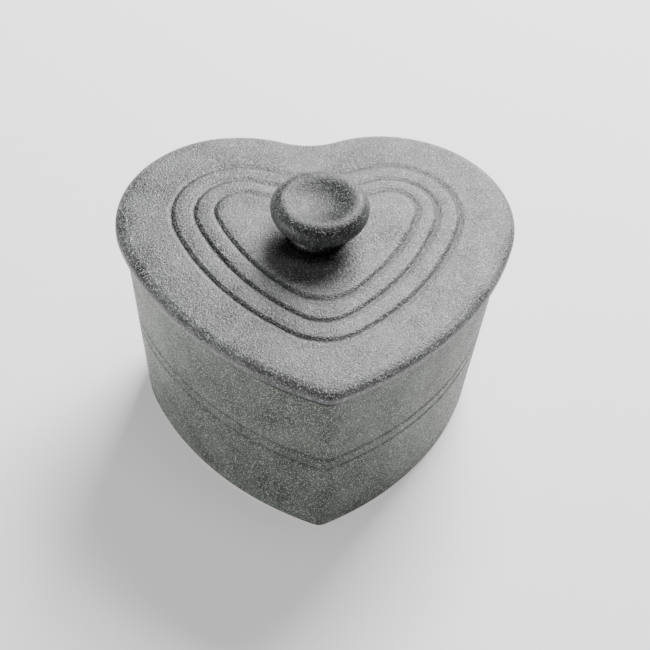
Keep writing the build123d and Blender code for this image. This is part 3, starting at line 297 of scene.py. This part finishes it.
def make_lid_shell():
    """Underside, flange, rolled rim, then three low steps, each with a crease at its foot."""
    corners = [(21.6, 64.6, 4.0, 0), (20.6, 64.5, 4.0, 3.0),
               (FLANGE_IN, 62.4, 4.0, 0.8), (FLANGE_IN, FLANGE_LOW, 4.0, 1.2),
               (FLANGE_OUT + FLANGE_LEAN, FLANGE_LOW, 4.0, 1.2), (FLANGE_OUT, BODY_H, 4.0, 0.4),
               (0, BODY_H, LID_TIP_R, 1.1), (0, 64.8, LID_TIP_R, 2.6), (1.0, 65.85, LID_TIP_R, 2.6),
               (2.6, 66.5, 8.2, 3.0), (6.0, 66.9, 9.5, 10.0),
               (14.6, 67.4, 15.0, 1.6), (16.0, 67.05, 16.0, 0.7), (16.9, 67.85, 16.0, 1.2),
               (19.0, 68.15, 14.0, 8.0), (21.2, 68.15, 11.0, 1.6),
               (22.5, 67.75, 11.0, 0.7), (23.4, 68.55, 11.0, 1.2),
               (25.4, 68.85, 12.0, 8.0), (27.0, 68.85, 13.0, 1.6),
               (28.3, 68.45, 13.0, 0.7), (29.2, 69.2, 13.0, 1.2), (31.0, 69.5, 13.0, 6.0),
               (33.0, 69.55, 13.0, 0)]
    return heart_piece("lid_shell", corners, LID_SHADE_SCALE)


# Radius and height above the lid, from the foot over the crest to the dimple's middle.
KNOB_POINTS = ((9.6, 0.0), (8.7, 0.35), (8.1, 1.1), (7.85, 2.2), (8.15, 3.3), (9.4, 4.35),
               (11.3, 5.35), (12.85, 6.7), (13.7, 8.2), (13.98, 9.6), (13.75, 11.0), (12.9, 12.25),
               (11.6, 13.05), (10.2, 13.2), (8.6, 12.9), (6.6, 12.15), (4.4, 11.45), (2.2, 11.15),
               (0.4, 11.1))
KNOB_AROUND = 144
KNOB_FINE = 6
# Weight of the knob's painted shade in its hollows and on its edges.
KNOB_SHADE_SCALE = -0.3


def curve_through(points, fine):
    """Smooth curve through given points (Catmull-Rom)."""
    p = np.array(points, float)
    p = np.vstack([2 * p[0] - p[1], p, 2 * p[-1] - p[-2]])
    out = []
    for i in range(1, len(p) - 2):
        for k in range(fine):
            t = k / fine
            a, b, c, d = p[i - 1], p[i], p[i + 1], p[i + 2]
            out.append(0.5 * (2 * b + (c - a) * t + (2 * a - 5 * b + 4 * c - d) * t * t
                              + (3 * b - a - 3 * c + d) * t ** 3))
    out.append(p[-2])
    return np.array(out)


def make_knob_shell():
    """Hand-thrown knob, a little out of round."""
    path = curve_through(KNOB_POINTS, KNOB_FINE)
    turn = 2 * pi * np.arange(KNOB_AROUND) / KNOB_AROUND
    uneven = 1 + 0.004 * np.sin(2 * turn + 0.6) + 0.003 * np.sin(3 * turn)
    rings = [circle(0, KNOB_Y, r * uneven, KNOB_Z + z, KNOB_AROUND) for r, z in path]
    bend = np.clip(turn_of(path), -1, 1) * KNOB_SHADE_SCALE
    top = KNOB_Z + KNOB_POINTS[-1][1]
    return grid_mesh("knob_shell", rings, bend, (0, KNOB_Y, KNOB_Z), (0, KNOB_Y, top))


# ---- Materials -----------------------------------------------------------------------------------
class Nodes:
    """Short way to write a node tree."""

    def __init__(self, name):
        self.material = bpy.data.materials.new(name)
        self.material.use_nodes = True
        self.tree = self.material.node_tree
        self.shader = self.tree.nodes["Principled BSDF"]

    def add(self, kind, values=None, **settings):
        node = self.tree.nodes.new(kind)
        for key, value in settings.items():
            setattr(node, key, value)
        for key, value in (values or {}).items():
            self.feed(node.inputs[key], value)
        return node

    def feed(self, socket, value):
        if isinstance(value, bpy.types.NodeSocket):
            self.tree.links.new(value, socket)
        else:
            socket.default_value = value

    def position(self):
        return self.add("ShaderNodeTexCoord").outputs["Object"]

    def scaled(self, vector, scale):
        node = self.add("ShaderNodeMapping", {"Vector": vector, "Scale": scale})
        return node.outputs["Vector"]

    def noise(self, vector, scale, detail=2.0, rough=0.5):
        node = self.add("ShaderNodeTexNoise", {"Vector": vector, "Scale": scale, "Detail": detail,
                                               "Roughness": rough})
        return node.outputs["Fac"]

    def vector(self, how, a, b=None, out="Vector"):
        node = self.add("ShaderNodeVectorMath", operation=how)
        self.feed(node.inputs[0], a)
        if b is not None:
            self.feed(node.inputs["Scale" if how == "SCALE" else 1], b)
        return node.outputs[out]

    def dashes(self, at, scale, half_width, half_length, share):
        """Mask of short straight dashes that lie every way."""
        cell = self.add("ShaderNodeTexVoronoi", {"Vector": at, "Scale": scale}).outputs
        chance = self.add("ShaderNodeTexWhiteNoise", {"Vector": cell["Color"]}).outputs
        away = self.vector("SUBTRACT", at, cell["Position"])
        lean = self.vector("NORMALIZE", self.vector("SUBTRACT", chance["Color"], (0.5, 0.5, 0.5)))
        along = self.vector("DOT_PRODUCT", away, lean, "Value")
        off = self.vector("DISTANCE", away, self.vector("SCALE", lean, along), "Value")
        body = self.ramp(off, half_width, 0.5 * half_width)
        ends = self.ramp(self.math("ABSOLUTE", along), half_length, 0.8 * half_length)
        chosen = self.ramp(chance["Value"], 1.0 - share, 1.05 - share)
        return self.math("MULTIPLY", self.math("MULTIPLY", body, ends), chosen)

    def ramp(self, value, low, high, out_low=0.0, out_high=1.0):
        node = self.add("ShaderNodeMapRange", {"Value": value, "From Min": low, "From Max": high,
                                               "To Min": out_low, "To Max": out_high})
        return node.outputs["Result"]

    def math(self, how, a, b=0.0):
        node = self.add("ShaderNodeMath", operation=how)
        self.feed(node.inputs[0], a)
        self.feed(node.inputs[1], b)
        return node.outputs[0]

    def mix(self, share, a, b):
        node = self.add("ShaderNodeMix", data_type="RGBA")
        self.feed(node.inputs["Factor"], share)
        for socket, value in ((node.inputs[6], a), (node.inputs[7], b)):
            self.feed(socket, value if isinstance(value, bpy.types.NodeSocket) else (*value, 1))
        return node.outputs[2]

    def bump(self, height, distance, strength=1.0):
        node = self.add("ShaderNodeBump", {"Height": height, "Distance": distance, "Strength": strength})
        self.tree.links.new(node.outputs["Normal"], self.shader.inputs["Normal"])

    def set(self, **values):
        names = {"color": "Base Color", "rough": "Roughness", "metal": "Metallic",
                 "spec": "Specular IOR Level"}
        for key, value in values.items():
            if key == "color" and not isinstance(value, bpy.types.NodeSocket):
                value = (*value, 1)
            self.feed(self.shader.inputs[names[key]], value)
        return self.material


CLOUD_SCALE, MOTTLE_SCALE, FINE_SCALE, GRAIN_SCALE = 90.0, 620.0, 1700.0, 2600.0
DASH_LAYERS = ((1000.0, 0.00013, 0.0007), (1500.0, 0.00011, 0.0005))   # scale, half width, half length
DASH_SHARE = 1.6           # share of cells with a dash, against the share with a grain
UNDER_LID_SHADE_LOW, UNDER_LID_SHADE_HIGH, UNDER_LID_SHADE_FADE = 59.1, 60.6, 0.5      # painted shadow: a dark band in the body's glaze just under the lid
HOLLOW_SHADE, EDGE_SHADE = 0.7, 0.92                         # strongest painted shade in hollows and on edges
CLAY_DARK, CLAY_LIGHT = (0.42, 0.38, 0.33), (0.52, 0.48, 0.42)
CLAY_LINE, CLAY_FADE, CLAY_WAVE = 0.9, 0.3, 0.6       # bare clay ends this far above the foot
CLAY_ROUGH = 0.4           # added to the roughness where the clay is bare


def glaze(name, dark, light, amount, gloss, matt, relief, shade_under_lid=False):
    """Satin speckled glaze: pale grains and short pale dashes in a dark ground.

    It gets painted shade in hollows and on edges, can get a painted shadow band just under the lid, and
    leaves the foot ring as bare clay.
    """
    n = Nodes(name)
    at = n.position()
    cloud = n.noise(at, CLOUD_SCALE)
    fine = n.noise(at, FINE_SCALE, 2.0, 0.7)
    ground = n.mix(n.ramp(fine, 0.36, 0.64), tuple(0.6 * c for c in dark), tuple(1.7 * c for c in dark))
    colour = n.mix(n.ramp(cloud, 0.3, 0.7, 0.0, 0.10), ground, light)
    cell = n.add("ShaderNodeTexVoronoi", {"Vector": at, "Scale": GRAIN_SCALE}).outputs
    pick = n.add("ShaderNodeSeparateColor", {"Color": cell["Color"]}).outputs
    chosen = n.ramp(pick[0], 1.0 - amount, 1.05 - amount)
    grain = n.math("MULTIPLY", chosen, n.ramp(cell["Distance"], 0.5, 0.25))
    marks = n.math("MULTIPLY", grain, n.ramp(pick[1], 0.0, 1.0, 0.3, 0.9))
    for scale, half_width, half_length in DASH_LAYERS:
        marks = n.math("MAXIMUM", marks, n.dashes(at, scale, half_width, half_length, DASH_SHARE * amount))
    colour = n.mix(marks, colour, light)
    # Painted shade: the glaze is darkened in hollows and on edges, weighted by the mesh's bend attribute.
    crease_shade = n.add("ShaderNodeAttribute", attribute_name="crease_shade").outputs["Fac"]
    colour = n.mix(n.ramp(crease_shade, 0.1, 1.0, 0.0, HOLLOW_SHADE), colour, tuple(0.4 * c for c in dark))
    colour = n.mix(n.ramp(crease_shade, -0.12, -0.4, 0.0, EDGE_SHADE), colour, dark)
    height = n.add("ShaderNodeSeparateXYZ", {"Vector": at}).outputs["Z"]
    # Painted shadow: a dark band on the body just under the lid's overhang.
    if shade_under_lid:
        rise = n.ramp(height, UNDER_LID_SHADE_LOW * MM, (UNDER_LID_SHADE_LOW + UNDER_LID_SHADE_FADE) * MM)
        fall = n.ramp(height, UNDER_LID_SHADE_HIGH * MM, (UNDER_LID_SHADE_HIGH - UNDER_LID_SHADE_FADE) * MM)
        under_lid_shade = n.math("MULTIPLY", rise, fall)
        colour = n.mix(under_lid_shade, colour, tuple(0.15 * c for c in dark))
    waving = n.math("ADD", height, n.math("MULTIPLY", cloud, CLAY_WAVE * MM))
    bare = n.ramp(waving, CLAY_LINE * MM, (CLAY_LINE - CLAY_FADE) * MM)
    clay = n.mix(n.ramp(fine, 0.4, 0.6), CLAY_DARK, CLAY_LIGHT)
    colour = n.mix(bare, colour, clay)
    mottle = n.ramp(n.noise(at, MOTTLE_SCALE, 2.0, 0.6), 0.35, 0.65, -0.07, 0.07)
    satin = n.math("ADD", n.ramp(fine, 0.38, 0.62, matt - 0.10, matt + 0.20), mottle)
    n.bump(n.math("ADD", n.math("MULTIPLY", fine, 0.7), n.math("MULTIPLY", marks, 0.6)), relief, 1.0)
    return n.set(color=colour, rough=n.math("ADD", satin, n.math("MULTIPLY", bare, CLAY_ROUGH)), spec=gloss)


def metal(name, colour, rough, grain_scale=(900.0, 900.0, 90.0), tarnish=0.12):
    """Worked metal: fine directional grain, uneven polish and a little tarnish."""
    n = Nodes(name)
    at = n.position()
    brush = n.noise(n.scaled(at, grain_scale), 8.0, 3.0, 0.6)
    patch = n.noise(at, 190.0, 4.0, 0.6)
    dull = tuple(c * (1 - 2.2 * tarnish) for c in colour)
    tone = n.mix(n.ramp(patch, 0.35, 0.7), colour, dull)
    tone = n.mix(n.ramp(brush, 0.3, 0.7, 0.0, 0.25), tone, tuple(0.7 * c for c in colour))
    n.bump(brush, 0.00002, 0.6)
    polish = n.math("ADD", n.ramp(brush, 0.2, 0.8, rough, rough + 0.12), n.ramp(patch, 0.4, 0.8, 0.0, 0.12))
    return n.set(color=tone, rough=polish, metal=1.0)


def plastic(name, colour, rough):
    """Moulded plastic: faint flow clouds and a fine mould texture."""
    n = Nodes(name)
    at = n.position()
    cloud = n.noise(at, 70.0, 3.0, 0.5)
    mould = n.noise(at, 2600.0, 2.0, 0.5)
    tone = n.mix(n.ramp(cloud, 0.3, 0.7), tuple(0.9 * c for c in colour), colour)
    n.bump(mould, 0.00003, 0.7)
    return n.set(color=tone, rough=n.ramp(mould, 0.3, 0.7, rough - 0.05, rough + 0.08), spec=0.45)


FLOOR_HALF, FLOOR_GLOW = 3.0, 0.45    # metres, emission that keeps the floor pale
WORLD_LIGHT = 0.02


def studio_floor():
    n = Nodes("studio_floor")
    at = n.position()
    tone = n.mix(n.noise(at, 3.0, 2.0), (0.90, 0.90, 0.90), (0.93, 0.93, 0.93))
    n.shader.inputs["Emission Color"].default_value = (1, 1, 1, 1)
    n.shader.inputs["Emission Strength"].default_value = FLOOR_GLOW
    return n.set(color=tone, rough=0.75, spec=0.2)


MATERIALS = {
    "base_board": plastic("base_board", (0.03, 0.03, 0.032), 0.5),
    "nylon": plastic("nylon", (0.78, 0.77, 0.71), 0.4),
    "acetal": plastic("acetal", (0.84, 0.82, 0.76), 0.32),
    "zinc_plate": metal("zinc_plate", (0.78, 0.66, 0.40), 0.26, (200.0, 200.0, 200.0)),
    "steel": metal("steel", (0.62, 0.63, 0.65), 0.22, (1200.0, 60.0, 1200.0), 0.06),
    "nickel": metal("nickel", (0.80, 0.78, 0.73), 0.14, (300.0, 300.0, 300.0), 0.04),
    "screw_steel": metal("screw_steel", (0.68, 0.68, 0.66), 0.28, (500.0, 500.0, 500.0), 0.08),
    "spring_steel": metal("spring_steel", (0.20, 0.24, 0.34), 0.25, (300.0, 300.0, 1500.0), 0.08),
    "brass": metal("brass", (0.86, 0.66, 0.30), 0.22, (1500.0, 100.0, 100.0), 0.10),
    "lead": metal("lead", (0.26, 0.27, 0.29), 0.5, (300.0, 300.0, 300.0), 0.15),
}
GLAZE_BODY = glaze("glaze_body", dark=(0.022, 0.027, 0.022), light=(0.66, 0.72, 0.64),
                   amount=0.42, gloss=0.38, matt=0.44, relief=0.0003, shade_under_lid=True)
GLAZE_LID = glaze("glaze_lid", dark=(0.018, 0.020, 0.019), light=(0.95, 0.98, 0.97),
                  amount=0.30, gloss=0.9, matt=0.38, relief=0.0005)
GLAZE_KNOB = glaze("glaze_knob", dark=(0.012, 0.013, 0.0125), light=(0.40, 0.42, 0.41),
                   amount=0.30, gloss=0.42, matt=0.36, relief=0.0003)

for entry in frame["record"]["subparts"]:
    node = frame["nodes"][entry["node"]]
    finish = MATERIALS.get(entry["material_slot"], GLAZE_LID)
    node.data.materials.clear()
    node.data.materials.append(finish)

for make, body, node, finish in ((make_box_shell, "box", "body", GLAZE_BODY),
                                 (make_lid_shell, "lid_set", "lid", GLAZE_LID),
                                 (make_knob_shell, "lid_set", "lid_knob", GLAZE_KNOB)):
    piece = make()
    piece.data.materials.append(finish)
    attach(piece, body)
    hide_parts(node)


for number, (x, y) in enumerate(BOSS_SPOTS, 1):
    boss = make_boss(f"box_boss_{number}", x, y)
    boss.data.materials.append(GLAZE_BODY)
    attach(boss, "box")
    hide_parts("body")


# ---- Floor, lights and camera --------------------------------------------------------------------
def make_floor():
    mesh = bpy.data.meshes.new("floor")
    half = FLOOR_HALF
    corners = [(-half, -half, 0), (half, -half, 0), (half, half, 0), (-half, half, 0)]
    mesh.from_pydata(corners, [], [(0, 1, 2, 3)])
    floor = bpy.data.objects.new("floor", mesh)
    bpy.context.scene.collection.objects.link(floor)
    mesh.materials.append(studio_floor())


LIGHT_AIM = Vector((0, 0, 0.06))


def soft_light(name, azimuth, elevation, distance, size, power):
    """Soft box of a width and a height; azimuth 0 is in front of the point, 90 to its right."""
    data = bpy.data.lights.new(name, "AREA")
    data.shape = "RECTANGLE"
    data.size, data.size_y = size
    data.energy = power
    light = bpy.data.objects.new(name, data)
    a, e = radians(azimuth), radians(elevation)
    back = Vector((sin(a) * cos(e), -cos(a) * cos(e), sin(e)))
    light.location = LIGHT_AIM + back * distance
    light.rotation_euler = back.to_track_quat("Z", "Y").to_euler()
    bpy.context.scene.collection.objects.link(light)


def make_lights():
    world = bpy.data.worlds.new("studio")
    world.use_nodes = True
    background = world.node_tree.nodes["Background"].inputs
    background["Color"].default_value = (1, 1, 1, 1)
    background["Strength"].default_value = WORLD_LIGHT
    bpy.context.scene.world = world
    soft_light("back_box", 153, 40, 1.1, (0.6, 0.8), 38.0)
    soft_light("top_box", 30, 80, 1.0, (0.4, 0.4), 2.2)
    soft_light("left_strip", -75, -2.0, 1.2, (0.9, 0.06), 11.0)


VIEW_AZ, VIEW_EL, VIEW_ROLL = -6.02, 45.1, 3.51
VIEW_DISTANCE = 12.0 * HALF_WIDTH
VIEW_TARGET = (0.1, SHIFT_Y - 0.7244 * HALF_WIDTH, 64.3)
VIEW_LENS = 138.5


def make_camera():
    a, e, roll = radians(VIEW_AZ), radians(VIEW_EL), radians(VIEW_ROLL)
    back = Vector((sin(a) * cos(e), -cos(a) * cos(e), sin(e)))
    right = Vector((0, 0, 1)).cross(back).normalized()
    up = back.cross(right)
    right, up = cos(roll) * right + sin(roll) * up, -sin(roll) * right + cos(roll) * up
    data = bpy.data.cameras.new("camera")
    data.lens = VIEW_LENS
    data.sensor_width = 36.0
    data.clip_start = 0.01
    camera = bpy.data.objects.new("camera", data)
    place = (Vector(VIEW_TARGET) + back * VIEW_DISTANCE) * MM
    turn = Matrix((right, up, back)).transposed().to_4x4()
    camera.matrix_world = Matrix.Translation(place) @ turn
    bpy.context.scene.collection.objects.link(camera)
    bpy.context.scene.camera = camera


make_floor()
make_lights()
make_camera()
